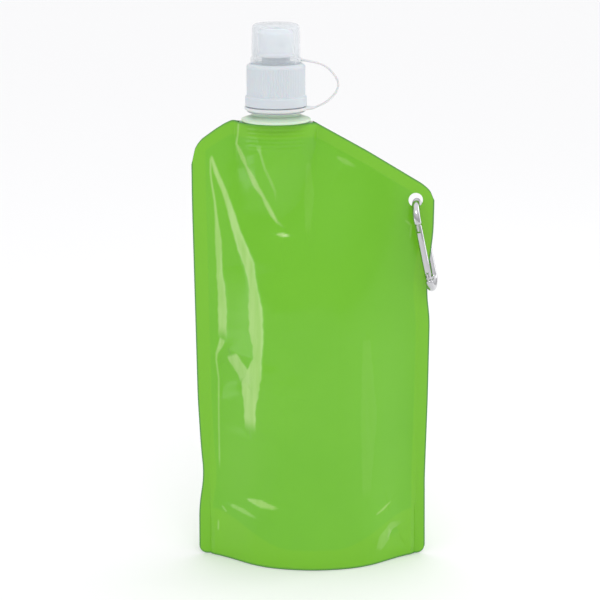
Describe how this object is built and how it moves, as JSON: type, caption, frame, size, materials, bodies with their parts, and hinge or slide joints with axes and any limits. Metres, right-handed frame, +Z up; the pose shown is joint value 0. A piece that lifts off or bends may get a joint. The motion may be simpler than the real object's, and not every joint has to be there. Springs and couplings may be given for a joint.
{
  "type": "folding water bottle",
  "caption": "Flat-folding film pouch bottle that stands on an opened base, with an offset screw spout, push-pull nozzle, tethered dust cap and a small carabiner through its corner.",
  "frame": {"origin": "middle of the footprint, on the surface the bottle stands on", "axes": "+Z up along the spout, +X to the carabiner side, +Y to the back, so the front panel faces -Y"},
  "size_m": [0.1326, 0.0534, 0.2948],
  "materials": {
    "film": "glossy, slightly translucent green film",
    "spout_plastic": "translucent natural polyethylene",
    "cap_plastic": "satin, milky white",
    "gasket": "closed-cell foam",
    "nozzle_plastic": "smooth, milky white",
    "clear_plastic": "clear, slightly frosted",
    "tether_plastic": "translucent natural polyethylene",
    "carabiner_metal": "polished",
    "pin_steel": "plain bright steel"
  },
  "bodies": {
    "root": {"spout_fitment": "spout_plastic", "bottom_gusset": "film"},
    "front_film": {"front_panel": "film"},
    "back_film": {"back_panel": "film"},
    "cap_seal": {"seal_gasket": "gasket"},
    "cap": {"closure_cap": "cap_plastic"},
    "mouthpiece": {"nozzle": "nozzle_plastic"},
    "tether": {"tether_ring": "tether_plastic", "tether_strap": "tether_plastic"},
    "dust_cover": {"dust_cap": "clear_plastic"},
    "clip": {"carabiner_body": "carabiner_metal", "gate_rivet": "pin_steel"},
    "clip_gate": {"carabiner_gate": "carabiner_metal", "latch_pin": "pin_steel", "gate_spring": "pin_steel"},
    "plunger": {"gate_plunger": "pin_steel"}
  },
  "joints": [
    {"name": "bag_flatten", "type": "hinge", "parent": "root", "child": "front_film", "pos_m": [0, -0.0115, 0.228], "axis": [1, 0, 0], "range_deg": [0, 6.4], "deforming": ["front_panel", "bottom_gusset"]},
    {"name": "bag_flatten_back", "type": "hinge", "parent": "root", "child": "back_film", "pos_m": [0, 0.0115, 0.228], "axis": [-1, 0, 0], "range_deg": [0, 6.4], "deforming": ["back_panel"]},
    {"name": "cap_rise", "type": "slide", "parent": "root", "child": "cap_seal", "axis": [0, 0, 1], "range_m": [0, 0.0064]},
    {"name": "cap_turn", "type": "hinge", "parent": "cap_seal", "child": "cap", "pos_m": [-0.0197, 0, 0.26], "axis": [0, 0, 1], "range_deg": [0, 720]},
    {"name": "nozzle_push", "type": "slide", "parent": "cap", "child": "mouthpiece", "axis": [0, 0, 1], "range_m": [-0.003, 0]},
    {"name": "tether_swivel", "type": "hinge", "parent": "cap", "child": "tether", "pos_m": [-0.0197, 0, 0.25], "axis": [0, 0, 1], "continuous": true},
    {"name": "dust_cap_pull", "type": "slide", "parent": "tether", "child": "dust_cover", "axis": [0, 0, 1], "range_m": [0, 0.022], "deforming": ["tether_strap"]},
    {"name": "carabiner_swing", "type": "hinge", "parent": "root", "child": "clip", "pos_m": [0.0551, 0, 0.1998], "axis": [-0.183, -0.9824, -0.0382], "range_deg": [0, 150]},
    {"name": "gate_open", "type": "hinge", "parent": "clip", "child": "clip_gate", "pos_m": [0.06147, -0.00884, 0.16108], "axis": [-0.9616, 0.1869, -0.2009], "range_deg": [0, 12]},
    {"name": "plunger_push", "type": "slide", "parent": "clip_gate", "child": "plunger", "axis": [-0.2045, 0, 0.9789], "range_m": [0, 0.000293], "stiffness_N_per_m": 1500, "springref_m": -0.0033, "deforming": ["gate_spring"]}
  ],
  "couplings": [
    {"joint": "bag_flatten_back", "follows": "bag_flatten", "ratio": 1},
    {"joint": "cap_turn", "follows": "cap_rise", "rad_per_m": 1963.5},
    {"joint": "gate_open", "follows": "plunger_push", "rad_per_m": 714.28}
  ]
}
